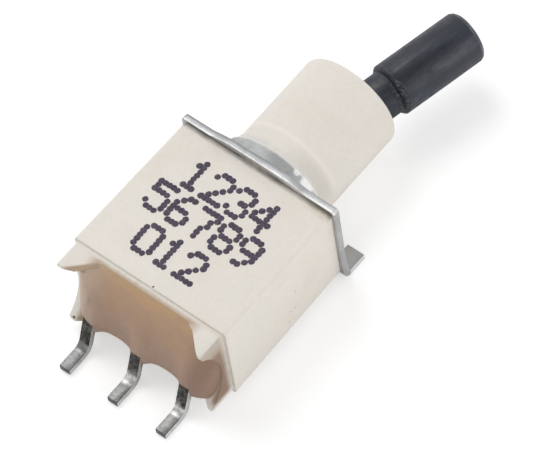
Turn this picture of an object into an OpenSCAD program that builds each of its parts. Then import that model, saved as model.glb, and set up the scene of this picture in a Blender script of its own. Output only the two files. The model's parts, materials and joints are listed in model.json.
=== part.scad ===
// Right-angle sealed toggle switch, two positions, three surface-mount terminals.
// Frame: +Z up from the board, z = 0 on the solder soles; the lever points to -Y.
// x = 0, y = 0 is the middle of the centre terminal's solder foot.

/* [Case] */
// width of the case at the terminal end
case_w = 7.85; // [7:0.05:9]
// height of the case at the terminal end
case_d = 4.62; // [4:0.02:5.4]
// length of the case from the step line to the bracket plate
case_l = 6.9; // [6.4:0.1:8]
// draft of each wide side over the case length
draft_w = 0.085; // [0:0.005:0.15]
// draft of the top and bottom faces over the case length
draft_d = 0.06; // [0:0.005:0.1]
// radius of the long corner edges
corner_r = 0.18; // [0.1:0.02:0.3]
// case wall at the terminal end
wall = 0.65; // [0.55:0.05:0.75]
// ledge above and below that stops the terminal base
ledge = 0.26; // [0.2:0.02:0.3]
// thickness of the wall between the cavity and the bushing
front_wall = 0.7; // [0.6:0.05:0.9]
// inset of the rim behind the step line
rim_step = 0.12; // [0.05:0.01:0.2]
// height of the rim above the step line on the long sides
rim_h = 0.28; // [0.2:0.02:0.4]
// height of the rim in the middle of the short sides
scallop_h = 0.38; // [0.3:0.02:0.5]
// radius of the scallops in the short sides
scallop_r = 2.5; // [2.4:0.1:3.2]
// height of the corner feet above the step line
foot_h = 1.3; // [1.1:0.05:1.4]
// width of a corner foot at its base on the long sides
foot_w = 1.45; // [1.2:0.05:1.6]

/* [Bushing] */
// radius of the bushing
bushing_r = 2.33; // [2.25:0.01:2.45]
// radius of the bushing skirt that carries the bracket collar
skirt_r = 2.4; // [2.37:0.01:2.42]
// draft of the skirt over its length
skirt_draft = 0.03; // [0.01:0.01:0.04]
// length of the skirt from the back of the bracket plate
skirt_l = 1.3; // [1.1:0.1:2]
// length of the bushing from the back of the bracket plate
bushing_l = 5.87; // [5.5:0.1:7]
// radius of the bore in which the lever ball turns
bore_r = 1.56; // [1.5:0.01:1.6]
// length in the bushing over which the bore flares towards the case
flare_l = 0.8; // [0.6:0.05:1]
// radius by which the bore flares
flare_r = 0.42; // [0.35:0.01:0.5]
// radius of the open mouth of the bushing
mouth_r = 1.95; // [1.9:0.01:2]
// rounding of the bushing's outer rim
bushing_round = 0.2; // [0.1:0.02:0.25]

/* [Bracket] */
// thickness of the sheet
sheet_t = 0.3; // [0.25:0.01:0.35]
// width of the bracket plate
plate_w = 7.96; // [7.8:0.02:8.8]
// spread of each solder foot beyond the side of the plate
foot_spread = 0.07; // [0:0.01:0.2]
// height of the top edge of the plate above the bushing axis
plate_top = 2.38; // [2.34:0.01:2.5]
// wall of the drawn collar
collar_t = 0.18; // [0.15:0.01:0.24]
// height of the crown of the arched top edge above the bushing axis
arch_top = 2.72; // [2.68:0.01:2.8]
// radius of the arched top edge
arch_r = 9.5; // [8:0.5:12]
// height of the drawn collar above the front of the plate
collar_h = 0.62; // [0.4:0.02:0.8]
// width of a solder foot of the bracket
bracket_foot_w = 0.86; // [0.6:0.02:1]
// reach of a solder foot in front of the plate
bracket_foot_l = 0.97; // [0.8:0.01:1.2]
// inside radius of the bend at a solder foot
bend_r = 0.15; // [0.1:0.01:0.2]
// gap between the board and the case
standoff = 0.34; // [0.34:0.01:0.6]

/* [Lever] */
// distance from the back of the bracket plate to the lever's turning axis
pivot_l = 2.47; // [2.4:0.05:3]
// angle of the lever to the bushing axis at either end of its throw
throw_deg = 13; // [11:0.5:13]
// radius of the lever's handle
handle_r = 1.185; // [1.1:0.005:1.3]
// length of the handle
handle_l = 4.23; // [3.8:0.05:6]
// distance from the turning axis to the tip of the handle
tip_l = 8.9; // [8.6:0.05:10.5]
// radius of the neck between handle and bushing
neck_r = 0.99; // [0.9:0.01:1]
// radius of the ball that turns in the bore
ball_r = 1.3; // [1.2:0.01:1.3]
// radius of the slim part of the neck inside the seal
throat_r = 0.78; // [0.7:0.01:0.8]
// length from the turning axis to the end of the slim neck
throat_l = 1.25; // [1.2:0.05:1.4]
// outer radius of the tail behind the ball
tail_r = 0.95; // [0.85:0.01:0.95]
// length of the tail behind the turning axis
tail_l = 3.9; // [3.6:0.1:4.1]
// radius of the spring bore in the tail
spring_bore_r = 0.6; // [0.55:0.01:0.65]
// distance from the turning axis to the end of the spring bore
spring_end_l = 0.6; // [0.55:0.01:0.7]
// distance from the turning axis to the plunger's shoulder
shoulder_l = 2.92; // [2.6:0.02:3]
// length of the spigot that centres the spring on the plunger
spigot_l = 0.42; // [0.3:0.02:0.5]
// radius of the pivot pin
pin_r = 0.38; // [0.3:0.01:0.4]
// half length of the pivot pin
pin_half = 1.82; // [1.75:0.01:1.85]

/* [Contacts] */
// distance between neighbouring terminals
pitch = 2.54; // [2.5:0.02:2.54]
// width of a terminal
term_w = 0.55; // [0.45:0.01:0.6]
// thickness of a terminal
term_t = 0.3; // [0.2:0.01:0.35]
// angle by which a terminal turns down to the board
term_turn = 68; // [55:1:75]
// middle radius of the bend next to the case
term_bend_a = 0.7; // [0.5:0.05:0.8]
// middle radius of the bend above the solder foot
term_bend_b = 0.6; // [0.5:0.05:0.9]
// straight length of a terminal behind the step line
term_exit = 0.4; // [0.35:0.01:0.6]
// length of the flat solder foot of a terminal
term_foot = 0.91; // [0.5:0.01:1.2]
// reach of a contact pad from the middle of its terminal
pad_l = 0.5; // [0.4:0.05:0.6]
// thickness of the terminal base
base_t = 1; // [0.8:0.05:1.1]
// depth of the terminal base below the step line
base_depth = 0.9; // [0.7:0.05:1]
// distance from the terminal base to the rocker's axis
rocker_rise = 1.1; // [1:0.05:1.2]
// angle of the rocker to level at either end of its throw
rocker_deg = 6.5; // [5.5:0.5:6.5]
// upward angle of each arm of the rocker
arm_deg = 9; // [7:0.5:9]
// length of each arm of the rocker
arm_l = 2.8; // [2.75:0.05:2.9]
// width of the rocker
rocker_w = 1.1; // [0.9:0.05:1.2]
// thickness of the rocker
rocker_t = 0.2; // [0.15:0.01:0.2]
// length of the yoke that carries the rocker
yoke_l = 1; // [0.8:0.05:1.1]
// thickness of each cheek of the yoke
yoke_t = 0.3; // [0.2:0.05:0.35]
// side clearance of the rocker between the cheeks
yoke_gap = 0.05; // [0.03:0.01:0.06]
// height of the cheeks over the rocker's axis
yoke_rise = 0.3; // [0.2:0.05:0.35]
// radius of the trunnions on which the rocker rocks
knife_r = 0.12; // [0.1:0.01:0.14]
// radius of the contact heads
head_r = 0.25; // [0.2:0.01:0.27]
// height of the contact heads
head_h = 0.12; // [0.08:0.01:0.15]
// thickness of the spring wire, as a radius
spring_wire = 0.08; // [0.05:0.01:0.1]
// radius of the plunger's nose
nose_r = 0.35; // [0.3:0.01:0.35]

/* [Potting] */
// height to which the resin stands above the rim on the board side
creep_h = 0.82; // [0.5:0.02:0.9]
// further height to which the resin climbs each terminal
climb_h = 0.4; // [0.2:0.05:0.6]
// distance from a terminal within which that climb dies away
climb_r = 0.25; // [0.2:0.05:0.4]

/* [Fits] */
// radial clearance of turning pieces
run_gap = 0.02; // [0.01:0.005:0.03]
// clearance of plunger and spring in their bore
slide_gap = 0.03; // [0.02:0.01:0.04]
// clearance of the terminal base in its pocket
base_gap = 0.02; // [0.01:0.005:0.04]
// clearance between touching contacts
touch_gap = 0.01; // [0.01:0.005:0.02]
// least clearance between plunger nose and rocker
nose_gap = 0.02; // [0.02:0.01:0.04]

/* [Hidden] */
$fn = 48;
e = 0.01;

axis_z = case_d / 2 + standoff;
term_drop = axis_z - term_t / 2;
term_slant = (term_drop - (term_bend_a + term_bend_b) * (1 - cos(term_turn))) / sin(term_turn);
term_reach = term_exit + (term_bend_a + term_bend_b) * sin(term_turn)
    + term_slant * cos(term_turn);
step_y = -(term_reach + term_foot / 2);
pivot_w = case_l + pivot_l;
pocket_u = case_w / 2 - wall;
pocket_v = case_d / 2 - wall;
cavity_v = pocket_v - ledge;
cavity_top = case_l - front_wall;
base_top = base_depth + base_t;
rocker_w0 = base_top + rocker_rise;
seal_r = 0.25;
seal_mid = bore_r - seal_r;
seal_rise = sqrt(pow(ball_r + seal_r + touch_gap, 2) - pow(seal_mid, 2));
plunger_head_r = spring_bore_r - slide_gap;
spigot_r = spring_bore_r / 2;
mound_u = case_w / 2 - rim_step - 0.35 * corner_r;
mound_top = case_d / 2 - rim_step - 0.35 * corner_r;
climb_p = 0.66 * pocket_v;
mound_low = case_d / 2 - rim_step - 0.09;
// The nose passes closest to the rocker a quarter of the way from mid throw.
nose_l = pivot_w - rocker_w0 - rocker_t / 2 - nose_r - nose_gap - 0.04;
head_w = rocker_w0 + pitch * sin(arm_deg - rocker_deg)
    - (rocker_t / 2 + head_h) * cos(arm_deg - rocker_deg)
    - head_r * sin(arm_deg - rocker_deg) - touch_gap;
pad_top = head_w - head_h;

// Places a child drawn along the bushing axis: its z is the way to the lever,
// its x is the width and its y is the way up from the board.
module along() {
    translate([0, step_y, axis_z]) rotate([90, 0, 0]) children();
}

// Rectangle with rounded corners, centred.
module soft_rect(hu, hv, r) {
    hull()
        for (i = [-1, 1], j = [-1, 1])
            translate([i * (hu - r), j * (hv - r)]) circle(r, $fn = 24);
}

// Box given by its two opposite corners.
module box(a, b) {
    translate(a) cube(b - a);
}

// ---- housing ----
module case_block() {
    hull() {
        linear_extrude(e) soft_rect(case_w / 2, case_d / 2, corner_r);
        translate([0, 0, case_l - e]) linear_extrude(e)
            soft_rect(case_w / 2 - draft_w, case_d / 2 - draft_d, corner_r);
    }
}

module rim_block() {
    translate([0, 0, -foot_h]) linear_extrude(foot_h + e)
        soft_rect(case_w / 2 - rim_step, case_d / 2 - rim_step, corner_r);
}

// Outline of the opening between two corner feet on the long sides.
module long_window() {
    u0 = case_w / 2 - rim_step;
    u1 = u0 - foot_w;
    polygon([[-u0 + 0.26, -foot_h - e], [-u0 + 0.34, -foot_h + 0.04],
        [-u0 + 0.48, -foot_h + 0.15], [-u1 - 0.22, -rim_h - 0.16], [-u1 - 0.08, -rim_h - 0.04],
        [-u1 + 0.12, -rim_h], [u1 - 0.12, -rim_h], [u1 + 0.08, -rim_h - 0.04],
        [u1 + 0.22, -rim_h - 0.16], [u0 - 0.48, -foot_h + 0.15], [u0 - 0.34, -foot_h + 0.04],
        [u0 - 0.26, -foot_h - e]]);
}

module bushing_block() {
    w1 = case_l + bushing_l;
    rotate_extrude()
        polygon([[0, case_l - 0.3], [bore_r + 0.5, case_l - 0.3], [bore_r + 0.5, case_l],
            [skirt_r, case_l], [skirt_r - skirt_draft, case_l + skirt_l],
            [bushing_r, case_l + skirt_l + 0.1], [bushing_r, w1 - bushing_round],
            [bushing_r - 0.03, w1 - bushing_round * 0.5],
            [bushing_r - bushing_round * 0.45, w1 - 0.03],
            [bushing_r - bushing_round, w1], [0, w1]]);
}

// Bore of the bushing: flared for the tail, straight for the ball, with a
// shoulder over the seal and a mouth that gives the neck its swing.
module bore_cut() {
    w1 = case_l + bushing_l;
    ws = pivot_w + seal_rise + seal_r;
    rs = (ws - pivot_w) * tan(throw_deg) + neck_r / cos(throw_deg) + 0.1;
    rotate_extrude()
        polygon([[0, cavity_top - e], [bore_r + flare_r, cavity_top - e],
            [bore_r + flare_r, cavity_top + 0.1], [bore_r, case_l + flare_l], [bore_r, ws],
            [rs, ws], [mouth_r, w1 - 0.12], [mouth_r + 0.08, w1 + e], [0, w1 + e]]);
}

module pin_slots() {
    r = pin_r + run_gap;
    v = pin_half + 0.04;
    translate([0, v, pivot_w]) rotate([90, 0, 0]) cylinder(r = r, h = 2 * v);
    box([-r, -v, cavity_top - e], [r, v, pivot_w]);
}

module housing() {
    color([0.88, 0.86, 0.82]) along()
        difference() {
            union() {
                case_block();
                rim_block();
                bushing_block();
            }
            translate([0, case_d, 0]) rotate([90, 0, 0])
                linear_extrude(2 * case_d) long_window();
            translate([-case_w, 0, -scallop_h - scallop_r]) rotate([0, 90, 0])
                cylinder(r = scallop_r, h = 2 * case_w, $fn = 96);
            box([-pocket_u, -pocket_v, -foot_h - 1], [pocket_u, pocket_v, base_top]);
            box([-pocket_u, -cavity_v, 0], [pocket_u, cavity_v, cavity_top]);
            bore_cut();
            pin_slots();
        }
}

// ---- bracket ----
module bracket() {
    hw = plate_w / 2;
    fo = hw + foot_spread;
    fi = fo - bracket_foot_w;
    low = -axis_z + sheet_t + bend_r;
    edge = 0.3 - case_d / 2;
    cr = skirt_r + collar_t;
    ct = case_l + sheet_t + collar_h;
    color([0.72, 0.72, 0.71]) along()
        difference() {
            union() {
                translate([0, 0, case_l]) linear_extrude(sheet_t) {
                    polygon([[-fo, low], [-fo, low + 0.1], [-hw, low + 0.5],
                        [-hw, plate_top - 0.12], [-hw + 0.1, plate_top],
                        [hw - 0.1, plate_top], [hw, plate_top - 0.12], [hw, low + 0.5],
                        [fo, low + 0.1], [fo, low], [fi, low], [fi, edge], [-fi, edge],
                        [-fi, low]]);
                    intersection() {
                        translate([0, arch_top - arch_r]) circle(arch_r, $fn = 288);
                        translate([-hw, edge]) square([plate_w, case_d]);
                    }
                }
                rotate_extrude($fn = 96)
                    polygon([[0, case_l], [cr, case_l], [cr, ct - 0.12], [cr - 0.03, ct - 0.03],
                        [cr - 0.1, ct], [0, ct]]);
                for (i = [-1, 1]) bracket_foot(i);
            }
            translate([0, 0, case_l - 1]) cylinder(r = skirt_r, h = 3, $fn = 96);
        }
}

// One solder foot: a quarter bend and a flat sole on the board.
module bracket_foot(side) {
    fo = plate_w / 2 + foot_spread;
    u = side > 0 ? fo - bracket_foot_w : -fo;
    translate([u, -axis_z + sheet_t + bend_r, case_l + sheet_t + bend_r])
        rotate([0, 90, 0]) rotate([0, 0, -90])
            rotate_extrude(angle = 90) translate([bend_r, 0])
                square([sheet_t, bracket_foot_w]);
    box([u, -axis_z, case_l + sheet_t + bend_r - e],
        [u + bracket_foot_w, -axis_z + sheet_t, case_l + sheet_t + bracket_foot_l]);
}

// ---- lever and what rides on it ----
// Places a child drawn along the lever, z = 0 on the turning axis, at rest.
module on_lever() {
    along() translate([0, 0, pivot_w]) rotate([0, -throw_deg, 0]) children();
}

module lever() {
    shoulder = tip_l - handle_l;
    color([0.1, 0.1, 0.11]) on_lever()
        difference() {
            union() {
                rotate_extrude()
                    polygon([[0, 0], [throat_r, 0], [throat_r, throat_l], [neck_r, throat_l + 0.45],
                        [neck_r, shoulder - 0.05], [neck_r, shoulder],
                        [handle_r - 0.1, shoulder], [handle_r, shoulder + 0.1],
                        [handle_r, tip_l - 0.26], [handle_r - 0.06, tip_l - 0.12],
                        [handle_r - 0.17, tip_l - 0.03], [handle_r - 0.28, tip_l], [0, tip_l]]);
                sphere(ball_r, $fn = 64);
                translate([0, 0, -tail_l]) cylinder(r = tail_r, h = tail_l);
            }
            translate([0, 0, -tail_l - 1])
                cylinder(r = spring_bore_r, h = tail_l + 1 - spring_end_l);
            translate([0, ball_r + 1, 0]) rotate([90, 0, 0])
                cylinder(r = pin_r, h = 2 * ball_r + 2);
        }
}

module pivot_pin() {
    color([0.7, 0.7, 0.72]) on_lever()
        rotate([90, 0, 0]) translate([0, 0, -pin_half]) rotate_extrude()
            polygon([[0, 0], [pin_r - 0.05, 0], [pin_r, 0.05], [pin_r, 2 * pin_half - 0.05],
                [pin_r - 0.05, 2 * pin_half], [0, 2 * pin_half]]);
}

module plunger() {
    color([0.85, 0.84, 0.78]) on_lever()
        union() {
            rotate_extrude()
                polygon([[0, -nose_l], [nose_r, -nose_l], [0.42, -nose_l + 0.4],
                    [0.42, -tail_l + 0.1], [plunger_head_r, -tail_l + 0.25],
                    [plunger_head_r, -shoulder_l], [spigot_r, -shoulder_l],
                    [spigot_r, spigot_l - shoulder_l], [0, spigot_l - shoulder_l]]);
            translate([0, 0, -nose_l]) sphere(nose_r);
        }
}

// Coil of round wire between the plunger's shoulder and the end of the bore.
module spring() {
    turns = 6.5;
    steps = 130;
    sides = 8;
    mean = spring_bore_r - slide_gap - spring_wire;
    z0 = spring_wire - shoulder_l;
    z1 = -spring_end_l - spring_wire;
    rings = [for (i = [0:steps]) let (a = 360 * turns * i / steps,
            z = z0 + (z1 - z0) * i / steps)
        for (k = [0:sides - 1]) let (b = 360 * k / sides, r = mean + spring_wire * cos(b))
            [r * cos(a), r * sin(a), z + spring_wire * sin(b)]];
    skin = [for (i = [0:steps - 1], k = [0:sides - 1]) let (n = (k + 1) % sides)
        [i * sides + k, i * sides + n, (i + 1) * sides + n, (i + 1) * sides + k]];
    color([0.75, 0.75, 0.76]) on_lever()
        polyhedron(rings, concat(skin, [[for (k = [sides - 1:-1:0]) k],
            [for (k = [0:sides - 1]) steps * sides + k]]));
}

module seal_ring() {
    color([0.08, 0.08, 0.08]) along() translate([0, 0, pivot_w + seal_rise])
        rotate_extrude() translate([seal_mid, 0]) circle(seal_r);
}

// ---- rocker and what rides on it ----
module on_rocker() {
    along() translate([0, 0, rocker_w0]) rotate([0, rocker_deg, 0]) children();
}

module rocker() {
    color([0.8, 0.66, 0.4]) on_rocker()
        union() {
            for (i = [-1, 1]) rotate([0, -i * arm_deg, 0])
                box([min(0, i * arm_l), -rocker_w / 2, -rocker_t / 2],
                    [max(0, i * arm_l), rocker_w / 2, rocker_t / 2]);
            rotate([90, 0, 0])
                cylinder(r = knife_r, h = rocker_w + 2 * (yoke_gap + yoke_t), center = true);
        }
}

module rocker_head(side) {
    color([0.85, 0.85, 0.86]) on_rocker()
        rotate([0, -side * arm_deg, 0])
            translate([side * pitch, 0, -rocker_t / 2 - head_h])
                cylinder(r = head_r, h = head_h);
}

// ---- terminals ----
// Outer part of a terminal: out of the case, down to the board and along it.
module gull_wing() {
    hw = term_w / 2;
    ht = term_t / 2;
    box([-hw, -ht, -term_exit], [hw, ht, 0.5]);
    translate([0, -term_bend_a, -term_exit]) rotate([0, 90, 0])
        translate([0, 0, -hw]) rotate([0, 0, 90 - term_turn])
            rotate_extrude(angle = term_turn) translate([term_bend_a - ht, 0])
                square([term_t, term_w]);
    translate([0, -term_bend_a, -term_exit]) rotate([-term_turn, 0, 0])
        translate([0, term_bend_a, 0]) {
            box([-hw, -ht, -term_slant - e / 2], [hw, ht, e / 2]);
            translate([0, term_bend_b, -term_slant]) rotate([0, 90, 0])
                translate([0, 0, -hw]) rotate([0, 0, -90])
                    rotate_extrude(angle = term_turn) translate([term_bend_b - ht, 0])
                        square([term_t, term_w]);
        }
    box([-hw, -axis_z, -term_reach - term_foot], [hw, -axis_z + term_t, -term_reach + e]);
}

module terminal_common_shape() {
    along() {
        gull_wing();
        box([-term_w / 2, -term_t / 2, 0.4], [term_w / 2, term_t / 2, base_top + e]);
        difference() {
            box([-yoke_l / 2, -rocker_w / 2 - yoke_gap - yoke_t, base_top],
                [yoke_l / 2, rocker_w / 2 + yoke_gap + yoke_t, rocker_w0 + yoke_rise]);
            box([-yoke_l, -rocker_w / 2 - yoke_gap, base_top + term_t],
                [yoke_l, rocker_w / 2 + yoke_gap, rocker_w0 + yoke_l]);
            translate([0, 0, rocker_w0]) rotate([90, 0, 0])
                cylinder(r = knife_r + run_gap, h = 2 * rocker_w + 2, center = true);
            box([-knife_r - run_gap, -rocker_w - 1, rocker_w0],
                [knife_r + run_gap, rocker_w + 1, rocker_w0 + yoke_l]);
        }
    }
}

module terminal_side_shape(side) {
    hw = term_w / 2;
    along() translate([side * pitch, 0, 0]) {
        gull_wing();
        box([-hw, -term_t / 2, 0.4], [hw, term_t / 2, pad_top - term_t / 2]);
        box([side > 0 ? -pad_l : -hw, -rocker_w / 2, pad_top - term_t],
            [side > 0 ? hw : pad_l, rocker_w / 2, pad_top]);
    }
}

module fixed_head(side) {
    color([0.85, 0.85, 0.86]) along()
        translate([side * pitch, 0, pad_top]) cylinder(r = term_w / 2, h = head_h);
}

module terminal_common() {
    color([0.62, 0.62, 0.6]) terminal_common_shape();
}

module terminal_left() {
    color([0.62, 0.62, 0.6]) terminal_side_shape(-1);
}

module terminal_right() {
    color([0.62, 0.62, 0.6]) terminal_side_shape(1);
}

// ---- base and potting ----
module base() {
    color([0.15, 0.15, 0.15])
        difference() {
            along() box([base_gap - pocket_u, base_gap - pocket_v, base_depth],
                [pocket_u - base_gap, pocket_v - base_gap, base_top]);
            terminal_common_shape();
            terminal_side_shape(-1);
            terminal_side_shape(1);
        }
}

// Height of the cured resin over the rim; p runs to the board side.
function creep(u, p) =
    let (brow = 0.13 * case_d,
        crest = mound_low - brow,
        rise = 0.5 - 0.5 * cos(180 * min(1, max(0, (p + mound_top) / (crest + mound_top)))),
        drop = p < crest ? 1 : sqrt(max(0, 1 - pow((p - crest) / brow, 2))),
        side = 1 - pow(min(1, abs(u) / mound_u), u > 0 ? 11 : 20),
        pull = max([for (i = [-1:1])
                let (d = max(0, abs(u - i * pitch) - term_w / 2))
                exp(-d / (i * u > pitch ? (u > 0 ? 2 : 4) * climb_r : climb_r))])
            * exp(-pow((p - climb_p) / climb_p, 4)))
    max(e, (creep_h * rise + climb_h * pull) * drop * side);

module resin_mound() {
    nu = 56;
    nv = 26;
    uu = [for (i = [0:nu]) mound_u * (2 * i / nu - 1)];
    pp = [for (j = [0:nv]) (mound_low + mound_top) * j / nv - mound_top];
    s = nv + 1;
    n = (nu + 1) * s;
    top = [for (u = uu, p = pp) [u, -p, -rim_h - creep(u, p)]];
    low = [for (u = [-mound_u, mound_u], p = [-mound_top, mound_low]) [u, -p, -rim_h + 0.02]];
    polyhedron(concat(top, low), concat(
        [for (i = [0:nu - 1], j = [0:nv - 1]) [i * s + j, i * s + j + 1, (i + 1) * s + j]],
        [for (i = [0:nu - 1], j = [0:nv - 1])
            [i * s + j + 1, (i + 1) * s + j + 1, (i + 1) * s + j]],
        [[n, n + 2, n + 3, n + 1]],
        [concat([n, n + 1], [for (j = [nv:-1:0]) j])],
        [concat([n + 3, n + 2], [for (j = [0:nv]) nu * s + j])],
        [concat([n + 2, n], [for (i = [0:nu]) i * s])],
        [concat([n + 1, n + 3], [for (i = [nu:-1:0]) i * s + nv])]));
}

module potting() {
    color([0.68, 0.54, 0.42])
        difference() {
            along() union() {
                box([-pocket_u, -pocket_v, -rim_h], [pocket_u, pocket_v, base_depth]);
                resin_mound();
            }
            housing();
            terminal_common_shape();
            terminal_side_shape(-1);
            terminal_side_shape(1);
        }
}

housing();
bracket();
lever();
pivot_pin();
seal_ring();
plunger();
spring();
rocker();
rocker_head(-1);  // rocker_head_left
rocker_head(1);  // rocker_head_right
terminal_common();
terminal_left();
terminal_right();
fixed_head(-1);  // fixed_head_left
fixed_head(1);  // fixed_head_right
base();
potting();
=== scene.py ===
import json
import math
import random

import bmesh
import bpy
from mathutils import Matrix, Vector


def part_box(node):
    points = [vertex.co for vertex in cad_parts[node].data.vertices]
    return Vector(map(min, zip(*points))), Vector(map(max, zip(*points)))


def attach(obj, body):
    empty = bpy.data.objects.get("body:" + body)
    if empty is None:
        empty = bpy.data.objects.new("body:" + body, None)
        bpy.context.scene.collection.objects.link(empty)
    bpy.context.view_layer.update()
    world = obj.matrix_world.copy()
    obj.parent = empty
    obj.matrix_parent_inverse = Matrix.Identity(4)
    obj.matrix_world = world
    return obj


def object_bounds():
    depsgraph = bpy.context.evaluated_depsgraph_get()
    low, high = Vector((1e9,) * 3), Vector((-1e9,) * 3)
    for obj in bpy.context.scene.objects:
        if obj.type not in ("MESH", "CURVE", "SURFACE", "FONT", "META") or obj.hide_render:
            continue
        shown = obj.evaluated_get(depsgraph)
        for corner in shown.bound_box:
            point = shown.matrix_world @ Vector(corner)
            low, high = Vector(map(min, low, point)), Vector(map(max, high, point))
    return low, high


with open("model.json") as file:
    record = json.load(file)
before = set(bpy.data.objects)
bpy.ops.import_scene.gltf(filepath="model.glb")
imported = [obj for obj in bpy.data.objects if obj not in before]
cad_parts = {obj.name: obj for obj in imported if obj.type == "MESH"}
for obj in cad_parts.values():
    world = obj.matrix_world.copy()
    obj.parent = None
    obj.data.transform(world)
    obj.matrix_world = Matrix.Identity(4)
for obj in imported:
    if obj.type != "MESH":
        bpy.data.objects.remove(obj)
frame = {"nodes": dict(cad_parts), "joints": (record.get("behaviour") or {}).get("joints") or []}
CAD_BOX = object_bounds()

MM = 0.001
NODE = frame["nodes"]

# Sizes of the part. Lengths are in mm all through this file, and MM turns them into metres.
CASE_D, CASE_L = 4.62, 6.9           # height and length of the case
DRAFT_D = 0.06                       # how much lower the case's top face is at its far end
SHEET_T = 0.3                        # thickness of the bracket's sheet
SHOULDER, TIP = 4.67, 8.9            # from the lever's axis to its handle's shoulder and end

# Places, from the frame. Those that end in Y or Z are in its own axes. SIDE is across from the
# middle, TOP is above the bushing axis, and PLATE and COLLAR are measured from the step line
# at the back of the case, towards the lever.
THROW = next(joint for joint in frame["joints"] if joint["name"] == "lever_throw")
PIVOT_Y, AXIS_Z = (value / MM for value in THROW["pos_m"][1:])
LEVER_TILT = THROW["range_deg"][1] / 2          # of the lever at rest, degrees
STEP_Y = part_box("bracket")[1].y / MM + CASE_L   # the case ends at the back of the bracket
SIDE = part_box("housing")[1].x / MM              # where the case is widest
TOP = CASE_D / 2                                # its top face at the step line
PLATE = CASE_L + SHEET_T                        # front of the bracket's plate
COLLAR_Z = 4.5                                  # no foot of the bracket is so high
COLLAR = max(STEP_Y - vert.co.y / MM for vert in NODE["bracket"].data.vertices
             if vert.co.z > COLLAR_Z * MM)      # front of its collar


def at(u, v, w):
    """Point given across, above the bushing axis and from the step line to the lever, in mm."""
    return Vector((u, STEP_Y - w, AXIS_Z + v)) * MM


# ---------------------------------------------------------------- materials
def srgb(r, g, b):
    """Linear colour, with alpha, from 0-255 display values."""
    return [(c / 255) ** 2.2 for c in (r, g, b)] + [1.0]


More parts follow.
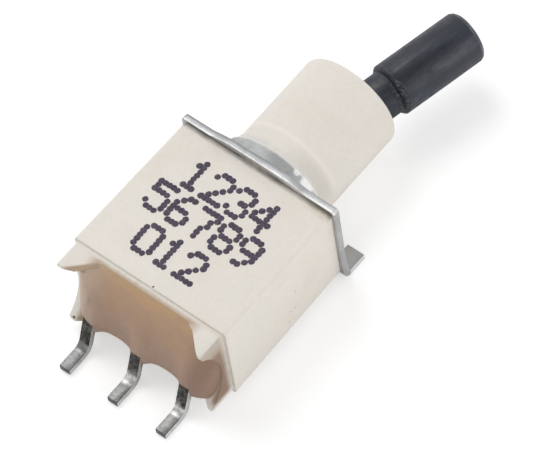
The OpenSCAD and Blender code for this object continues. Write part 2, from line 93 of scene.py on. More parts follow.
class Graph:
    """Small helper that adds and links shader nodes of one material."""

    def __init__(self, name):
        self.mat = bpy.data.materials.new(name)
        self.mat.use_nodes = True
        self.tree = self.mat.node_tree
        self.bsdf = self.tree.nodes["Principled BSDF"]
        self.coords = self.add("ShaderNodeTexCoord").outputs["Object"]

    def add(self, kind, **values):
        node = self.tree.nodes.new(kind)
        for key, value in values.items():
            if key in node.inputs:
                node.inputs[key].default_value = value
            else:
                setattr(node, key, value)
        return node

    def link(self, a, b):
        self.tree.links.new(a, b)

    def put(self, value, socket):
        """Links value to the socket where it is a socket too, and else sets it there."""
        if hasattr(value, "is_linked"):
            self.link(value, socket)
        else:
            socket.default_value = value

    def texture(self, kind, scale, coords=None, **values):
        """Texture node whose coordinates, the object's own by default, are scaled first."""
        mapping = self.add("ShaderNodeMapping")
        mapping.inputs["Scale"].default_value = scale
        self.link(coords or self.coords, mapping.inputs["Vector"])
        tex = self.add(kind, Scale=1.0, **values)
        self.link(mapping.outputs["Vector"], tex.inputs["Vector"])
        return tex.outputs

    def noise(self, size, detail=3.0, rough=0.55, stretch=(1, 1, 1), warp=0.0):
        """Noise whose features are about size mm across."""
        return self.texture("ShaderNodeTexNoise", [s / (size * MM) for s in stretch],
                            Detail=detail, Roughness=rough, Distortion=warp)["Fac"]

    def ramp(self, fac, stops):
        """Colour or grey ramp; stops are (position, colour or value)."""
        node = self.add("ShaderNodeValToRGB")
        points = node.color_ramp.elements
        while len(points) < len(stops):
            points.new(0.5)
        for point, (pos, col) in zip(points, stops):
            point.position = pos
            point.color = col if hasattr(col, "__len__") else (col, col, col, 1)
        self.link(fac, node.inputs["Fac"])
        return node.outputs["Color"]

    def mix(self, a, b, fac, share=None):
        """Mixes two colours, each a socket or four numbers, by a mask and a share of it."""
        if share is not None:
            fac = self.math("MULTIPLY", fac, share)
        node = self.add("ShaderNodeMix", data_type="RGBA", blend_type="MIX")
        for socket, value in ((6, a), (7, b), (0, fac)):
            self.put(value, node.inputs[socket])
        return node.outputs[2]

    def math(self, op, a, b=0.0, c=0.0):
        node = self.add("ShaderNodeMath", operation=op)
        for socket, value in zip(node.inputs, (a, b, c)):
            self.put(value, socket)
        return node.outputs[0]

    def split(self, vector):
        """Sockets x, y and z of a vector."""
        node = self.add("ShaderNodeSeparateXYZ")
        self.link(vector, node.inputs[0])
        return node.outputs

    def facing(self):
        """Sockets x, y and z of the surface's direction."""
        return self.split(self.add("ShaderNodeTexCoord").outputs["Normal"])

    def place(self):
        """Sockets u, v, w: across, above the bushing axis and from the step line, in mm."""
        x, y, z = self.split(self.coords)
        return (self.math("DIVIDE", x, MM),
                self.math("MULTIPLY_ADD", z, 1 / MM, -AXIS_Z),
                self.math("MULTIPLY_ADD", y, -1 / MM, STEP_Y))

    def band(self, value, a, b):
        """0 where value is at a and beyond, 1 at b and beyond, smooth between."""
        node = self.add("ShaderNodeMapRange", interpolation_type="SMOOTHSTEP")
        self.link(value, node.inputs["Value"])
        node.inputs["From Min"].default_value = a
        node.inputs["From Max"].default_value = b
        return node.outputs["Result"]

    def all_of(self, *facs):
        """Product of masks."""
        total = facs[0]
        for fac in facs[1:]:
            total = self.math("MULTIPLY", total, fac)
        return total

    def wander(self, value, size, reach):
        """Value moved to and fro by noise, so that an edge drawn from it is uneven."""
        shift = self.math("MULTIPLY_ADD", self.noise(size, 3, 0.6), 2 * reach, -reach)
        return self.math("ADD", value, shift)

    def specks(self, cell, radius, share):
        """Mask of small separate dots, one at most in each cell."""
        tex = self.texture("ShaderNodeTexVoronoi", [1 / (cell * MM)] * 3)
        colour = self.add("ShaderNodeSeparateColor")
        self.link(tex["Color"], colour.inputs[0])
        near = self.band(tex["Distance"], 1.3 * radius / cell, 0.7 * radius / cell)
        return self.all_of(near, self.math("LESS_THAN", colour.outputs[0], share))

    def spot(self, place, centre, radius):
        """Mask of one small dot round a point given as u, v, w."""
        total = None
        for socket, value in zip(place, centre):
            off = self.math("SUBTRACT", socket, value)
            square = self.math("MULTIPLY", off, off)
            total = square if total is None else self.math("ADD", total, square)
        return self.band(total, (1.3 * radius) ** 2, (0.6 * radius) ** 2)

    def bump(self, layers):
        """Chains bumps; layers are (height socket, depth in mm)."""
        normal = None
        for height, depth in layers:
            node = self.add("ShaderNodeBump", Strength=1.0, Distance=depth * MM)
            self.link(height, node.inputs["Height"])
            if normal is not None:
                self.link(normal, node.inputs["Normal"])
            normal = node.outputs["Normal"]
        self.link(normal, self.bsdf.inputs["Normal"])

    def set(self, **values):
        """Values of the shader's own sockets, with _ for each space in their names."""
        for key, value in values.items():
            self.put(value, self.bsdf.inputs[key.replace("_", " ")])


def cream_plastic():
    g = Graph("cream_moulded_plastic")
    u, v, w = g.place()
    cloud = g.noise(2.4, 4, 0.6)
    fine = g.noise(0.16, 3, 0.6)
    base = g.ramp(cloud, [(0.3, srgb(232, 224, 215)), (0.5, srgb(235, 229, 220)),
                          (0.7, srgb(232, 228, 219))])
    base = g.mix(base, srgb(221, 211, 198), g.ramp(fine, [(0.45, 0.0), (0.75, 0.3)]))
    base = g.mix(base, srgb(112, 98, 84), g.specks(1.15, 0.035, 0.34), 0.8)
    base = g.mix(base, srgb(186, 170, 150), g.specks(0.8, 0.07, 0.22), 0.45)
    # Brownish bloom beside the bracket plate, near one end.
    bloom = g.all_of(g.band(g.wander(w, 0.5, 0.25), CASE_L - 0.55, CASE_L),
                     g.band(v, TOP - 0.41, TOP - 0.11), g.band(u, -2.3, -3.1))
    base = g.mix(base, srgb(196, 178, 152), bloom, 0.6)
    # Painted shadow: a dark band in the gap along the back of the bracket plate.
    joint = g.all_of(g.band(g.wander(w, 0.5, 0.05), CASE_L - 0.27, CASE_L - 0.04),
                     g.band(w, CASE_L + 0.2, CASE_L + 0.1), g.band(v, TOP - 0.41, TOP - 0.16),
                     g.ramp(g.noise(1.1, 3), [(0.4, 0.55), (0.6, 0.88)]))
    base = g.mix(base, srgb(94, 90, 85), joint)
    # Two dark grains, one on the step line and one on a corner foot.
    for centre, radius in (((-0.17, TOP, 0.07), 0.045), ((3.56, -1.91, -1.27), 0.06)):
        base = g.mix(base, srgb(84, 66, 52), g.spot((u, v, w), centre, radius))
    # Grey rub marks on the skirt, left by the collar of the bracket.
    rub = g.all_of(g.band(w, PLATE - 0.1, PLATE + 0.1), g.band(w, COLLAR + 0.48, COLLAR + 0.08),
                   g.band(v, 0.4, 1.0),
                   g.ramp(g.noise(0.5, 4, 0.65, stretch=(0.5, 1, 1)), [(0.4, 0.1), (0.6, 0.8)]))
    base = g.mix(base, srgb(206, 206, 202), rub, 0.7)
    # Painted highlight in a line round the bushing, at the top of its skirt, and painted shade on
    # the skirt between it and the collar.
    line = COLLAR + 1.01
    ring = g.all_of(g.band(g.wander(w, 0.7, 0.06), line - 0.15, line - 0.01),
                    g.band(w, line + 0.21, line + 0.01), g.band(v, 0.2, 0.9))
    base = g.mix(base, srgb(247, 240, 232), ring, 0.45)
    # Painted shade on the skirt.
    dull = g.all_of(g.band(w, COLLAR - 0.02, COLLAR + 0.23), g.band(w, line - 0.03, line - 0.43),
                    g.band(u, -0.3, -1.5), g.band(v, -0.6, 0.6))
    base = g.mix(base, srgb(217, 212, 202), dull, 0.8)
    # Resin film on the rim: over one short side, and along the lip of the opening.
    side = g.all_of(g.band(u, 0.265 - SIDE, 0.145 - SIDE),
                    g.band(g.wander(w, 0.4, 0.05), 0.12, -0.36),
                    g.band(g.wander(v, 0.4, 0.12), -2.0, -1.6))
    thick = g.ramp(g.band(g.wander(v, 0.8, 0.3), 2.4, 1.2), [(0.0, 0.55), (1.0, 0.95)])
    film = g.mix(srgb(172, 154, 134), srgb(138, 113, 96), g.band(v, 1.7, 0.2))
    base = g.mix(base, film, g.all_of(side, thick))
    lip = g.all_of(g.band(g.wander(w, 0.3, 0.06), -0.2, -0.31), g.band(v, TOP - 0.12, TOP - 0.26),
                   g.band(g.wander(u, 0.5, 0.12), 3.6, 3.3), g.band(u, 1.5, 2.5))
    base = g.mix(base, srgb(180, 150, 118), lip, 0.85)
    seep = g.all_of(g.band(g.wander(w, 0.25, 0.07), -0.06, -0.26),
                    g.band(v, TOP - 0.31, TOP - 0.16),
                    g.band(u, -3.0, -2.4), g.band(u, 3.0, 2.4))
    base = g.mix(base, srgb(190, 164, 138), seep, 0.85)
    inner = g.all_of(g.band(w, -0.3, -0.36),
                     g.band(g.wander(u, 0.4, 0.1), 0.425 - SIDE, 0.225 - SIDE),
                     g.band(v, 1.6, 1.2), g.band(g.wander(v, 0.3, 0.1), -1.95, -1.65))
    base = g.mix(base, srgb(150, 124, 105), inner, 0.85)
    rough = g.ramp(g.noise(0.5, 3), [(0.3, 0.44), (0.7, 0.58)])
    g.bump([(g.noise(0.9, 4, 0.6), 0.03), (g.noise(0.09, 3), 0.008)])
    g.set(Base_Color=base, Roughness=rough, Specular_IOR_Level=0.42,
          Subsurface_Weight=0.12, Subsurface_Scale=0.35 * MM,
          Subsurface_Radius=(1.0, 0.8, 0.6))
    return g.mat


def plain_plastic(name, light, dark):
    g = Graph(name)
    base = g.ramp(g.noise(0.8, 4, 0.6), [(0.3, dark), (0.7, light)])
    rough = g.ramp(g.noise(0.4, 3), [(0.3, 0.4), (0.7, 0.6)])
    g.bump([(g.noise(0.3, 3), 0.01), (g.noise(0.08, 3), 0.005)])
    g.set(Base_Color=base, Roughness=rough, Specular_IOR_Level=0.45)
    return g.mat


def black_plastic():
    """Bluish black, with drawn streaks along the lever, a painted highlight round the tip's rim
    and a ragged shoulder.
    """
    g = Graph("black_moulded_plastic")
    x, y, z = g.split(g.coords)
    # Distances along and across the lever as it stands at rest.
    cos, sin = math.cos(math.radians(LEVER_TILT)), math.sin(math.radians(LEVER_TILT))
    reach = g.math("MULTIPLY_ADD", y, -cos / MM, cos * PIVOT_Y)
    reach = g.math("MULTIPLY_ADD", x, -sin / MM, reach)
    across = g.math("MULTIPLY_ADD", y, sin / MM, -sin * PIVOT_Y)
    across = g.math("MULTIPLY_ADD", x, -cos / MM, across)
    joined = g.add("ShaderNodeCombineXYZ")
    for socket, value in zip(joined.inputs, (across, reach, g.math("DIVIDE", z, MM))):
        g.link(value, socket)

    def streak(size, stretch, detail, warp):
        return g.texture("ShaderNodeTexNoise", [1 / size, stretch / size, 1 / size],
                         joined.outputs[0], Detail=detail, Roughness=0.62,
                         Distortion=warp)["Fac"]

    cloud = streak(1.5, 0.3, 3, 0.0)
    fibre = streak(0.26, 0.12, 3, 0.3)
    scuff = streak(0.8, 0.35, 5, 0.9)
    base = g.ramp(cloud, [(0.34, srgb(30, 34, 42)), (0.66, srgb(52, 57, 67))])
    base = g.mix(base, srgb(76, 83, 95), g.ramp(fibre, [(0.5, 0.0), (0.8, 0.42)]))
    base = g.mix(base, srgb(98, 104, 115), g.ramp(scuff, [(0.62, 0.0), (0.74, 0.35)]))
    grain = g.noise(0.13, 4, 0.7)
    # Painted highlight round the rim of the tip.
    tip_highlight = g.all_of(g.band(reach, TIP - 0.26, TIP - 0.17), g.band(reach, TIP - 0.02, TIP - 0.1),
                    g.ramp(g.noise(0.5, 3), [(0.42, 0.25), (0.58, 1.0)]))
    base = g.mix(base, srgb(124, 129, 138), tip_highlight, 0.7)
    ragged = g.all_of(g.band(reach, SHOULDER - 0.3, SHOULDER - 0.05),
                      g.band(g.wander(reach, 0.25, 0.12), SHOULDER + 0.32, SHOULDER + 0.12))
    crumbs = g.ramp(grain, [(0.44, srgb(20, 22, 27)), (0.56, srgb(60, 64, 72)),
                            (0.7, srgb(120, 124, 130))])
    ragged = g.math("MULTIPLY", ragged,
                    g.math("MULTIPLY_ADD", g.band(across, -0.3, 0.6), 0.65, 0.35))
    base = g.mix(base, crumbs, ragged, 0.85)
    rough = g.ramp(g.noise(0.35, 3), [(0.3, 0.36), (0.7, 0.56)])
    g.bump([(scuff, 0.02), (fibre, 0.014), (g.noise(0.12, 3), 0.008),
            (g.math("MULTIPLY", grain, ragged), 0.09)])
    g.set(Base_Color=base, Roughness=rough, Specular_IOR_Level=0.5)
    return g.mat


def metal(name, light, dark):
    g = Graph(name)
    cloud = g.noise(0.9, 5, 0.65, warp=0.5)
    grit = g.noise(0.14, 3, 0.6)
    base = g.ramp(cloud, [(0.32, dark), (0.62, light)])
    base = g.mix(base, dark, g.ramp(grit, [(0.5, 0.0), (0.8, 0.35)]))
    rough = g.ramp(g.noise(0.4, 4, 0.6), [(0.3, 0.3), (0.7, 0.45)])
    g.bump([(grit, 0.004), (g.noise(0.6, 3), 0.006)])
    g.set(Base_Color=base, Metallic=1.0, Roughness=rough)
    return g.mat


def bracket_metal():
    """Tinned sheet: dull sheared edges, painted highlights along the edge next to the case, on
    the collar's lip and on the foot's sides, and a glint on its collar.
    """
    g = Graph("tinned_sheet_steel")
    u, v, w = g.place()
    facing = g.facing()
    cloud = g.noise(1.1, 5, 0.65, warp=0.5)
    grit = g.noise(0.12, 3, 0.6)
    base = g.ramp(cloud, [(0.3, srgb(172, 173, 174)), (0.65, srgb(200, 201, 201))])
    base = g.mix(base, srgb(146, 147, 149), g.ramp(grit, [(0.5, 0.0), (0.8, 0.4)]))
    top = g.all_of(g.band(v, TOP - 0.11, TOP - 0.01), g.band(w, PLATE + 0.04, PLATE))
    sheared = g.all_of(top, g.band(facing[2], 0.6, 0.85))
    right = g.band(u, 0.8, -2.6)
    dull = g.mix(srgb(142, 143, 145), srgb(166, 167, 168), grit)
    base = g.mix(base, g.mix(dull, srgb(196, 197, 198), right), sheared)
    # Painted highlight along the edge next to the case, stronger towards the -u end.
    edge_highlight = g.all_of(g.band(g.wander(w, 0.3, 0.02), CASE_L + 0.09, CASE_L + 0.04), top)
    base = g.mix(base, g.mix(srgb(180, 180, 179), srgb(234, 234, 233), right), edge_highlight)
    # Painted highlight on the lip of the collar.
    collar_lip_highlight = g.all_of(g.band(w, COLLAR - 0.16, COLLAR - 0.06), g.band(v, 0.0, 0.5))
    base = g.mix(base, srgb(236, 236, 234), collar_lip_highlight)
    near = (g.wander(u, 0.35, 0.04), g.wander(v, 0.3, 0.04), w)
    glint = g.math("MAXIMUM", g.spot(near, (-1.92, 1.72, COLLAR - 0.14), 0.32),
                   g.math("MULTIPLY", g.spot(near, (-1.4, 2.14, COLLAR - 0.12), 0.15), 0.8))
    base = g.mix(base, srgb(252, 252, 251), glint)
    # Painted highlight: the foot's side faces much lighter than its others.
    foot = g.all_of(g.band(w, PLATE, PLATE + 0.1), g.band(v, -1.9, -2.1))
    side = g.band(g.math("ABSOLUTE", facing[0]), 0.5, 0.8)
    base = g.mix(base, g.mix(srgb(184, 185, 186), srgb(242, 242, 240), side), foot)
    rough = g.ramp(g.noise(0.4, 4, 0.6), [(0.3, 0.4), (0.7, 0.55)])
    g.bump([(grit, 0.005), (g.noise(0.6, 3), 0.008)])
    g.set(Base_Color=base, Metallic=g.math("MULTIPLY_ADD", glint, -0.9, 1.0), Roughness=rough)
    return g.mat


def terminal_metal():
    """Tinned lead: stained dark below the resin, a painted highlight at the bend, painted lighter
    side faces, dull on its solder foot.
    """
    g = Graph("tinned_terminal")
    u, _, w = g.place()
    cloud = g.noise(0.45, 5, 0.65, warp=0.5)
    grit = g.noise(0.1, 3, 0.65)
    base = g.ramp(cloud, [(0.3, srgb(116, 116, 116)), (0.7, srgb(142, 142, 141))])
    base = g.mix(base, srgb(92, 92, 91), g.ramp(grit, [(0.48, 0.0), (0.8, 0.5)]))
    edge = g.wander(w, 0.35, 0.12)
    # Painted highlight on the bend, fainter towards +u.
    bend_highlight = g.all_of(g.band(edge, -1.7, -1.95), g.band(edge, -2.36, -2.1),
                     g.ramp(g.noise(0.3, 3, 0.6, warp=0.6), [(0.4, 0.5), (0.6, 1.0)]))
    bend_highlight = g.math("MULTIPLY", bend_highlight, g.band(u, 3.2, 0.4))
    base = g.mix(base, srgb(236, 236, 235), bend_highlight)
    stain = g.band(edge, -1.96, -1.78)
    blotch = g.ramp(g.noise(0.2, 4, 0.7, warp=0.8), [(0.4, 0.55), (0.62, 1.0)])
    base = g.mix(base, srgb(52, 50, 46), g.math("MULTIPLY", stain, blotch))
    base = g.mix(base, srgb(120, 126, 116), g.band(edge, -1.5, -1.25), 0.7)
    base = g.mix(base, srgb(104, 104, 104), g.band(w, -3.1, -3.18))
    # Painted light: faces turned across the lead, on its lower leg and foot, lighter and less
    # metallic.
    side = g.all_of(g.band(g.math("ABSOLUTE", g.facing()[0]), 0.8, 0.95),
                    g.band(g.wander(w, 0.3, 0.06), -1.3, -1.6))
    pale = g.ramp(cloud, [(0.35, srgb(186, 186, 186)), (0.65, srgb(226, 226, 225))])
    base = g.mix(base, pale, side)
    rough = g.ramp(g.noise(0.25, 4, 0.6), [(0.3, 0.34), (0.7, 0.5)])
    rough = g.mix(rough, (0.24, 0.24, 0.24, 1), g.math("MULTIPLY", stain, 0.6))
    g.bump([(grit, 0.01), (g.noise(0.35, 3), 0.014)])
    g.set(Base_Color=base, Metallic=g.math("MULTIPLY_ADD", side, -0.7, 1.0), Roughness=rough)
    return g.mat


def epoxy():
    """Poured resin: warm along the top lip, greyer by the terminals, browner at one side."""
    g = Graph("tan_potting_resin")
    u, v, _ = g.place()
    cloud = g.noise(1.5, 4, 0.6, warp=0.4)
    fine = g.noise(0.13, 3, 0.6)
    high = g.ramp(g.band(g.wander(v, 1.2, 0.35), -2.0, 2.1),
                  [(0.0, srgb(172, 145, 127)), (0.3, srgb(174, 146, 127)),
                   (0.6, srgb(184, 149, 121)), (0.85, srgb(191, 155, 124)),
                   (1.0, srgb(208, 166, 122))])
    base = g.mix(high, srgb(174, 145, 127), g.ramp(cloud, [(0.4, 0.0), (0.7, 0.5)]))
    brown = g.all_of(g.band(g.wander(u, 0.9, 0.25), -2.1, -3.1), g.band(v, 1.9, 0.6))
    base = g.mix(base, srgb(136, 109, 92), brown, 0.68)
    pale = g.all_of(g.band(g.wander(u, 0.6, 0.2), 1.6, 3.2), g.band(v, -1.6, 0.0))
    base = g.mix(base, srgb(206, 184, 166), pale, 0.7)
    base = g.mix(base, srgb(143, 108, 84), g.ramp(fine, [(0.55, 0.0), (0.82, 0.3)]))
    patches = g.ramp(g.noise(0.7, 5, 0.7, warp=1.5), [(0.62, 0.0), (0.75, 0.35)])
    base = g.mix(base, srgb(120, 98, 84), patches)
    rough = g.ramp(g.noise(0.6, 3), [(0.3, 0.34), (0.7, 0.52)])
    g.bump([(g.noise(0.8, 4, 0.6), 0.05), (fine, 0.008)])
    g.set(Base_Color=base, Roughness=rough, Specular_IOR_Level=0.45,
          Subsurface_Weight=0.08, Subsurface_Scale=0.3 * MM)
    return g.mat


def rubber():
    g = Graph("dark_seal_rubber")
    base = g.ramp(g.noise(0.4, 3), [(0.3, srgb(38, 36, 36)), (0.7, srgb(56, 53, 52))])
    g.bump([(g.noise(0.1, 3), 0.008)])
    g.set(Base_Color=base, Roughness=g.ramp(g.noise(0.2), [(0.3, 0.5), (0.7, 0.7)]))
    return g.mat


CREAM = cream_plastic()
BLACK = black_plastic()
SHEET = bracket_metal()
LEAD = terminal_metal()
RESIN = epoxy()
RUBBER = rubber()
SILVER = metal("silver_contact", srgb(222, 220, 214), srgb(176, 172, 164))
SPRING = metal("spring_steel", srgb(186, 186, 188), srgb(120, 120, 122))
COPPER = metal("copper_alloy", srgb(204, 150, 112), srgb(160, 112, 80))
NYLON = plain_plastic("natural_nylon", srgb(226, 220, 204), srgb(210, 203, 186))
DARK = plain_plastic("dark_thermoset", srgb(46, 42, 40), srgb(34, 31, 30))

# Node: its material, and the width by which its edges are broken.
LOOKS = {"housing": (CREAM, 0.035), "base": (DARK, 0.0), "bracket": (SHEET, 0.02),
         "lever": (BLACK, 0.03), "plunger": (NYLON, 0.0), "pivot_pin": (SPRING, 0.0),
         "seal_ring": (RUBBER, 0.0), "spring": (SPRING, 0.0), "rocker": (COPPER, 0.0),
         "rocker_head_left": (SILVER, 0.0), "rocker_head_right": (SILVER, 0.0),
         "fixed_head_left": (SILVER, 0.0), "fixed_head_right": (SILVER, 0.0),
         "terminal_common": (LEAD, 0.05), "terminal_left": (LEAD, 0.05),
         "terminal_right": (LEAD, 0.05), "potting": (RESIN, 0.0)}


def smooth_by_angle(degrees):
    """Geometry group that drops stored normals and shades smooth below an edge angle."""
    group = bpy.data.node_groups.new("smooth_%d" % degrees, "GeometryNodeTree")
    for way in ("INPUT", "OUTPUT"):
        group.interface.new_socket("Geometry", in_out=way, socket_type="NodeSocketGeometry")
    new, link = group.nodes.new, group.links.new
    drop = new("GeometryNodeRemoveAttribute")
    drop.inputs["Name"].default_value = "custom_normal"
    faces, edges = new("GeometryNodeSetShadeSmooth"), new("GeometryNodeSetShadeSmooth")
    edges.domain = "EDGE"
    angle, below = new("GeometryNodeInputMeshEdgeAngle"), new("FunctionNodeCompare")
    below.operation = "LESS_THAN"
    below.inputs["B"].default_value = math.radians(degrees)
    link(new("NodeGroupInput").outputs[0], drop.inputs["Geometry"])
    link(drop.outputs["Geometry"], faces.inputs["Geometry"])
    link(faces.outputs["Geometry"], edges.inputs["Geometry"])
    link(angle.outputs["Unsigned Angle"], below.inputs["A"])
    link(below.outputs["Result"], edges.inputs["Shade Smooth"])
    link(edges.outputs["Geometry"], new("NodeGroupOutput").inputs[0])
    return group


WELD_REACH = 0.001                   # vertices this near each other are one
FLAT_DEG = 0.3                       # faces this nearly in one plane are joined
BROKEN_DEG = 38                      # edges sharper than this are broken
SMOOTHING = smooth_by_angle(30)
RESIN_SMOOTHING = smooth_by_angle(50)


def finish_edges(node, width, smoothing):
    """Joins the split vertices of a node, breaks its sharp edges and shades it smooth."""
    weld = node.modifiers.new("weld", "WELD")
    weld.merge_threshold = WELD_REACH * MM
    if width:
        flat = node.modifiers.new("flat", "DECIMATE")
        flat.decimate_type = "DISSOLVE"
        flat.angle_limit = math.radians(FLAT_DEG)
        bevel = node.modifiers.new("bevel", "BEVEL")
        bevel.width = width * MM
        bevel.segments = 2
        bevel.limit_method = "ANGLE"
        bevel.angle_limit = math.radians(BROKEN_DEG)
        bevel.use_clamp_overlap = False
    node.modifiers.new("shading", "NODES").node_group = smoothing


for name, (mat, width) in LOOKS.items():
    NODE[name].data.materials.clear()
    NODE[name].data.materials.append(mat)
    finish_edges(NODE[name], width, RESIN_SMOOTHING if mat is RESIN else SMOOTHING)


def add_object(name, me, material):
    """Object of a mesh, shaded smooth."""
    for face in me.polygons:
        face.use_smooth = True
    me.materials.append(material)
    ob = bpy.data.objects.new(name, me)
    bpy.context.scene.collection.objects.link(ob)
    return ob


def add_to_case(name, bm, material):
    """Turns a bmesh into a piece that rides on the case."""
    me = bpy.data.meshes.new(name)
    bm.to_mesh(me)
    bm.free()
    ob = add_object(name, me, material)
    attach(ob, "case")


# ---------------------------------------------------------------- resin bead
def resin_bead(name, centre, normal, along, radii):
    """Low uneven bead of cured resin; radii are along it, across it and in height."""
    rng = random.Random(name)
    up = Vector(normal).normalized()
    side = up.cross(Vector(along)).normalized()
    front = side.cross(up)
    bm = bmesh.new()
    bmesh.ops.create_icosphere(bm, subdivisions=4, radius=1.0)
    waves = [(rng.uniform(2, 4), rng.uniform(0, 6.3)) for _ in range(6)]
    for vert in bm.verts:
        x, y, z = vert.co
        swell = 1 + sum(0.02 * math.sin(pitch * vert.co[i % 3] + phase)
                        for i, (pitch, phase) in enumerate(waves))
        vert.co = at(*centre) + MM * swell * (
            front * radii[0] * x + side * radii[1] * y + up * radii[2] * z)
    add_to_case(name, bm, RESIN)


# Where the resin only just covers the upper corner of one terminal.
resin_bead("resin_bead", centre=(2.8, -0.21, -1.0), normal=(0.34, 0.76, 0.56),
           along=(0.3, 0.35, -0.75), radii=(0.24, 0.15, 0.1))


# ---------------------------------------------------------------- ink marking
def ink():
    g = Graph("marking_ink")
    base = g.ramp(g.noise(0.1, 3, 0.6), [(0.35, srgb(62, 55, 68)), (0.65, srgb(88, 80, 96))])
    g.bump([(g.noise(0.06, 3), 0.004)])
    g.set(Base_Color=base, Roughness=g.ramp(g.noise(0.15), [(0.3, 0.5), (0.7, 0.7)]),
          Specular_IOR_Level=0.35)
    return g.mat


# Plain digits on a grid of 5 by 7 dots, top row first.
DIGITS = {
    "0": (".###.", "#...#", "#...#", "#...#", "#...#", "#...#", ".###."),
    "1": ("..#..", ".##..", "..#..", "..#..", "..#..", "..#..", ".###."),
    "2": (".###.", "#...#", "....#", "...#.", "..#..", ".#...", "#####"),
    "3": (".###.", "#...#", "....#", "..##.", "....#", "#...#", ".###."),
    "4": ("...#.", "..##.", ".#.#.", "#..#.", "#####", "...#.", "...#."),
    "5": ("#####", "#....", "####.", "....#", "....#", "#...#", ".###."),
    "6": ("..##.", ".#...", "#....", "####.", "#...#", "#...#", ".###."),
    "7": ("#####", "....#", "...#.", "...#.", "..#..", "..#..", "..#.."),
    "8": (".###.", "#...#", "#...#", ".###.", "#...#", "#...#", ".###."),
    "9": (".###.", "#...#", "#...#", ".####", "....#", "...#.", ".##.."),
}
DIGIT_U = 1.14                       # pitch of the digits, across the case
DOT_U, DOT_W = 0.205, 0.215          # pitch of the dots, across and along the case
DOT_R = 0.142                        # radius of a dot
DOT_SLIP = 0.01                      # how far its place and radius vary
DOT_WAVE = 0.06                      # share by which its outline varies
DOT_FOOT = 0.001                     # its edge lies so far above the case
DOT_RISE = (0.006, 0.009)            # least and most height of its rim
DOT_TURNS = 20                       # corners round it


def ink_dot(bm, u, w, r, rng):
    """Low, slightly uneven drop of dried ink on the sloped top face."""
    wave = [rng.uniform(1 - DOT_WAVE, 1 + DOT_WAVE) for _ in range(DOT_TURNS)]
    rise = rng.uniform(*DOT_RISE)
    rings = []
    for share, lift in ((1.0, DOT_FOOT), (0.82, rise), (0.4, rise + DOT_FOOT)):
        ring = []
        for i in range(DOT_TURNS):
            a = 2 * math.pi * i / DOT_TURNS
            u1, w1 = u + r * share * wave[i] * math.cos(a), w + r * share * wave[i] * math.sin(a)
            ring.append(bm.verts.new(at(u1, TOP - DRAFT_D * w1 / CASE_L + lift, w1)))
        rings.append(ring)
    for a, b in zip(rings, rings[1:]):
        for i in range(DOT_TURNS):
            j = (i + 1) % DOT_TURNS
            bm.faces.new((a[i], b[i], b[j], a[j]))
    bm.faces.new(list(reversed(rings[-1])))


def ink_row(name, digits, u0, w0):
    """One row of dot printing; u0, w0 is the lower left dot of its first digit."""
    rng = random.Random(name)
    bm = bmesh.new()
    for k, digit in enumerate(digits):
        for row, line in enumerate(DIGITS[digit]):
            for col, mark in enumerate(line):
                if mark == "#":
                    u = u0 - DIGIT_U * k - DOT_U * col + rng.uniform(-DOT_SLIP, DOT_SLIP)
                    w = (w0 + DOT_W * (len(DIGITS[digit]) - 1 - row)
                         + rng.uniform(-DOT_SLIP, DOT_SLIP))
                    ink_dot(bm, u, w, DOT_R + rng.uniform(-DOT_SLIP, DOT_SLIP), rng)
    add_to_case(name, bm, INK)


INK = ink()
ink_row("ink_row_1", "1234", 2.15, 4.52)
ink_row("ink_row_2", "56789", 2.75, 2.86)
ink_row("ink_row_3", "012", 1.83, 1.02)


# ---------------------------------------------------------------- stage
WHITE = (1.0, 1.0, 1.0, 1.0)
FLOOR_HALF = 3000.0                  # half the floor's width
FLOOR_GLOW = 0.5                     # lightens the shadows for the camera, and for it alone


def floor_material():
    g = Graph("pale_floor")
    tone = g.ramp(g.noise(60, 3), [(0.3, srgb(250, 250, 250)), (0.7, srgb(252, 252, 252))])
    seen = g.add("ShaderNodeLightPath").outputs["Is Camera Ray"]
    tone = g.mix(tone, srgb(214, 214, 214), seen)
    g.set(Base_Color=tone, Roughness=0.9, Specular_IOR_Level=0.1, Emission_Color=WHITE,
          Emission_Strength=g.math("MULTIPLY", seen, FLOOR_GLOW))
    return g.mat


half = FLOOR_HALF * MM
ground = bpy.data.meshes.new("floor")
ground.from_pydata([(-half, -half, 0), (half, -half, 0), (half, half, 0), (-half, half, 0)],
                   [], [(0, 1, 2, 3)])
floor = add_object("floor", ground, floor_material())

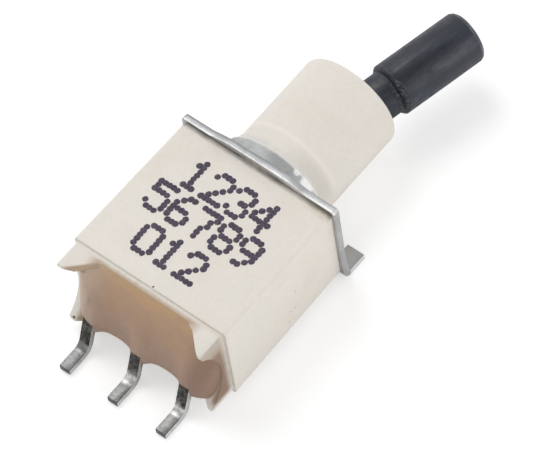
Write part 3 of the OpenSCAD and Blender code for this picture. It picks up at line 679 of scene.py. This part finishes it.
SKY_LOW, SKY_TOP = 0.79, 0.35        # brightness of the studio near the horizon and overhead
SKY_FROM, SKY_TO = 0.25, 0.9         # heights between which the one turns into the other
world = bpy.data.worlds.new("soft_studio")
bpy.context.scene.world = world
world.use_nodes = True
new, link = world.node_tree.nodes.new, world.node_tree.links.new
background = world.node_tree.nodes["Background"]
height = new("ShaderNodeSeparateXYZ")
fade = new("ShaderNodeMapRange")
fade.interpolation_type = "SMOOTHSTEP"
for socket, value in zip(fade.inputs[1:5], (SKY_FROM, SKY_TO, SKY_LOW, SKY_TOP)):
    socket.default_value = value
pick = new("ShaderNodeMix")          # the camera itself sees plain white
pick.data_type = "FLOAT"
pick.inputs[3].default_value = 1.0
link(new("ShaderNodeTexCoord").outputs["Generated"], height.inputs[0])
link(height.outputs["Z"], fade.inputs[0])
link(new("ShaderNodeLightPath").outputs["Is Camera Ray"], pick.inputs[0])
link(fade.outputs[0], pick.inputs[2])
link(pick.outputs[0], background.inputs["Strength"])
background.inputs["Color"].default_value = WHITE


def lamp(name, away, size, power):
    """Round soft lamp, away from the middle of the part and turned to it."""
    data = bpy.data.lights.new(name, "AREA")
    data.shape = "DISK"
    data.size = size * MM
    data.energy = power
    ob = bpy.data.objects.new(name, data)
    bpy.context.scene.collection.objects.link(ob)
    ob.location = (CAD_BOX[0] + CAD_BOX[1]) / 2 + Vector(away) * MM
    ob.rotation_mode = "QUATERNION"
    ob.rotation_quaternion = (-Vector(away)).to_track_quat("-Z", "Y")


lamp("key", away=(160, -40, 260), size=200, power=0.4)
lamp("fill", away=(-270, -80, 110), size=200, power=0.21)

# ---------------------------------------------------------------- camera
EYE = Vector((-83.881, 66.965573, 181.4165))
RIGHT = Vector((-0.774697, -0.625324, -0.093879))
UP = Vector((0.495956, -0.692984, 0.52326))
BACK = Vector((-0.392264, 0.358808, 0.846986))
camera = bpy.data.objects.new("camera", bpy.data.cameras.new("camera"))
bpy.context.scene.collection.objects.link(camera)
camera.data.sensor_width = 36.0
camera.data.lens = 346.936
camera.data.clip_start = 10 * MM
camera.data.clip_end = 10000 * MM
camera.matrix_world = (Matrix.Translation(EYE * MM)
                       @ Matrix((RIGHT, UP, BACK)).transposed().to_4x4())
bpy.context.scene.camera = camera
bpy.context.scene.view_settings.view_transform = "Standard"
